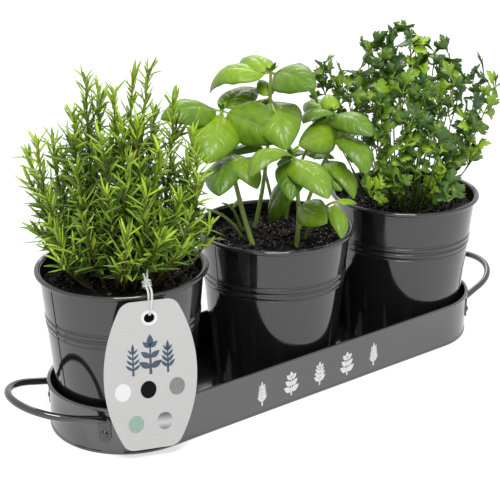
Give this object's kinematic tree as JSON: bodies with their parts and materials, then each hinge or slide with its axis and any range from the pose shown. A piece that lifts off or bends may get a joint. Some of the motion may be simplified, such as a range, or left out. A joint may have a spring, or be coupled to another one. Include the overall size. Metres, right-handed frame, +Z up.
{
  "type": "indoor herb planter",
  "caption": "Long round-ended metal tray with a wire handle at each end, holding tapered pots of growing herbs, with a swing tag on a cord.",
  "frame": {"origin": "on the table under the middle of the tray, in the plane of the tray base's underside", "axes": "+Z up, +X along the tray towards the parsley, the front with the tag faces -Y"},
  "size_m": [0.4052, 0.1462, 0.233],
  "materials": {
    "black_metal": "black powder coat on sheet steel, satin with soft broad highlights",
    "black_wire": "black powder coat on steel wire, satin",
    "black_rivet": "black coated rivets, satin",
    "potting_soil": "damp crumbly compost with pale specks",
    "rosemary_leaf": "matte needles, brown woody stems",
    "basil_leaf": "glossy leaves with pale midribs",
    "parsley_leaf": "satin leaves, pale thin stalks",
    "tag_paper": "uncoated warm grey card",
    "eyelet_white": "white, smooth",
    "white_cord": "white twisted cotton"
  },
  "bodies": {
    "tray": {"tray_base": "black_metal", "tray_wall": "black_metal", "handle_left": "black_wire", "handle_right": "black_wire", "rivets_left": "black_rivet", "rivets_right": "black_rivet"},
    "pot_left": {"pot_left_wall": "black_metal", "pot_left_base": "black_metal"},
    "pot_middle": {"pot_middle_wall": "black_metal", "pot_middle_base": "black_metal"},
    "pot_right": {"pot_right_wall": "black_metal", "pot_right_base": "black_metal"},
    "plant_left": {"soil_left": "potting_soil", "rosemary": "rosemary_leaf", "tag_cord": "white_cord", "cord_knot": "white_cord"},
    "plant_middle": {"soil_middle": "potting_soil", "basil": "basil_leaf"},
    "plant_right": {"soil_right": "potting_soil", "parsley": "parsley_leaf"},
    "tag": {"tag_card": "tag_paper", "tag_eyelet": "eyelet_white"}
  },
  "joints": [
    {"name": "pot_left_lift", "type": "slide", "parent": "tray", "child": "pot_left", "axis": [0, 0, 1], "range_m": [0, 0.06]},
    {"name": "pot_middle_lift", "type": "slide", "parent": "tray", "child": "pot_middle", "axis": [0, 0, 1], "range_m": [0, 0.06]},
    {"name": "pot_right_lift", "type": "slide", "parent": "tray", "child": "pot_right", "axis": [0, 0, 1], "range_m": [0, 0.06]},
    {"name": "plant_left_lift", "type": "slide", "parent": "pot_left", "child": "plant_left", "axis": [0, 0, 1], "range_m": [0, 0.11]},
    {"name": "plant_middle_lift", "type": "slide", "parent": "pot_middle", "child": "plant_middle", "axis": [0, 0, 1], "range_m": [0, 0.11]},
    {"name": "plant_right_lift", "type": "slide", "parent": "pot_right", "child": "plant_right", "axis": [0, 0, 1], "range_m": [0, 0.11]},
    {"name": "tag_swing", "type": "hinge", "parent": "plant_left", "child": "tag", "pos_m": [-0.13697, -0.05471, 0.0932], "axis": [-0.3584, -0.9336, 0], "range_deg": [-25, 15]}
  ]
}
